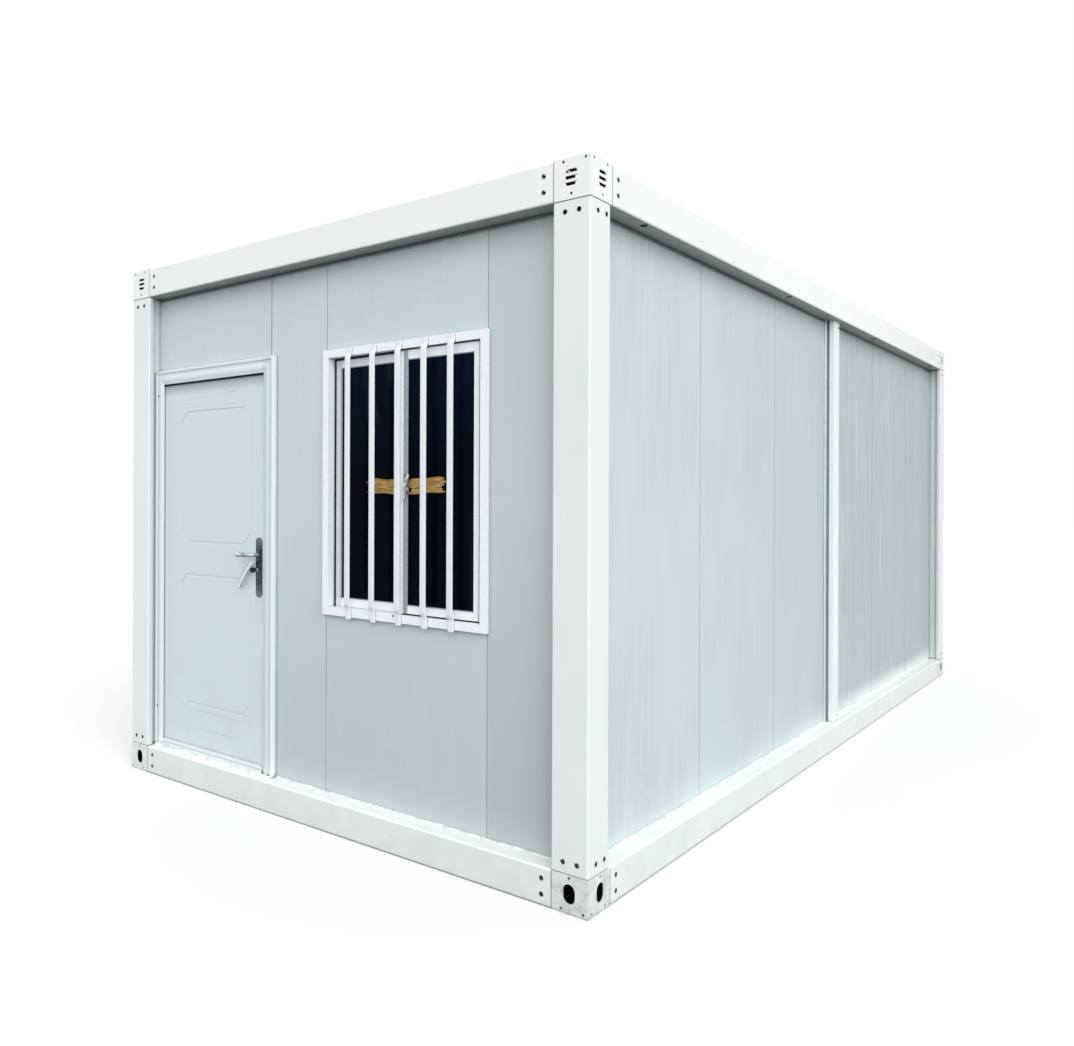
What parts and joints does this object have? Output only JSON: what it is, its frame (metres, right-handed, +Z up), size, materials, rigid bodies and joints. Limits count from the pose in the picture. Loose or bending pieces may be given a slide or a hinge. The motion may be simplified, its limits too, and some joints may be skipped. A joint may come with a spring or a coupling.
{
  "type": "container cabin",
  "caption": "Flat-pack container cabin: folded steel frame with corner fittings, sandwich panel walls, hinged steel door, sliding window, ribbed roof.",
  "frame": {"origin": "on the ground, at the centre of the cabin's footprint", "axes": "+X to the right seen from the door end, +Y along the cabin away from the door end, +Z up"},
  "size_m": [3, 5.95, 2.8],
  "materials": {
    "frame_paint": "satin white paint",
    "wall_skin": "matt grey-white coated steel skin",
    "galvanized": "galvanized grey",
    "floor_board": "plain cement board",
    "floor_covering": "matt sheet flooring",
    "ceiling_skin": "matt white coated steel",
    "roof_skin": "coated steel sheet",
    "door_frame_paint": "satin white paint",
    "door_paint": "satin pale grey paint",
    "lock_metal": "dark nickel",
    "window_plastic": "white window profile",
    "window_glass": "dark clear glass"
  },
  "bodies": {
    "cabin": {"floor_corner_front_left": "frame_paint", "floor_corner_front_right": "frame_paint", "floor_corner_back_left": "frame_paint", "floor_corner_back_right": "frame_paint", "roof_corner_front_left": "frame_paint", "roof_corner_front_right": "frame_paint", "roof_corner_back_left": "frame_paint", "roof_corner_back_right": "frame_paint", "post_front_left": "frame_paint", "post_front_right": "frame_paint", "post_back_left": "frame_paint", "post_back_right": "frame_paint", "floor_beam_front": "frame_paint", "floor_beam_back": "frame_paint", "floor_beam_left": "frame_paint", "floor_beam_right": "frame_paint", "roof_beam_front": "frame_paint", "roof_beam_back": "frame_paint", "roof_beam_left": "frame_paint", "roof_beam_right": "frame_paint", "floor_joint_plates": "frame_paint", "roof_joint_plates": "frame_paint", "mid_post_left": "frame_paint", "mid_post_right": "frame_paint", "front_wall_over_door": "wall_skin", "front_wall_middle": "wall_skin", "front_wall_over_window": "wall_skin", "front_wall_under_window": "wall_skin", "front_wall_right": "wall_skin", "left_wall": "wall_skin", "right_wall": "wall_skin", "back_wall": "wall_skin", "floor_joists": "galvanized", "roof_purlins": "galvanized", "base_sheet": "galvanized", "floor_board": "floor_board", "floor_covering": "floor_covering", "ceiling": "ceiling_skin", "roof_sheet": "roof_skin", "door_jamb_left": "door_frame_paint", "door_jamb_right": "door_frame_paint", "door_head": "door_frame_paint", "door_sill": "door_frame_paint", "window_frame": "window_plastic", "window_sashes": "window_plastic", "window_glass": "window_glass"},
    "door": {"door_leaf": "door_paint", "lock_plates": "lock_metal"},
    "lever": {"door_lever": "lock_metal"}
  },
  "joints": [
    {"name": "door_hinge", "type": "hinge", "parent": "cabin", "child": "door", "pos_m": [-1.305, -2.829, 1.19], "axis": [0, 0, 1], "range_deg": [0, 90]},
    {"name": "lever_turn", "type": "hinge", "parent": "door", "child": "lever", "pos_m": [-0.463, -2.87, 1.245], "axis": [0, -1, 0], "range_deg": [0, 40], "stiffness_Nm_per_rad": 1.2, "springref_deg": -34.38}
  ]
}
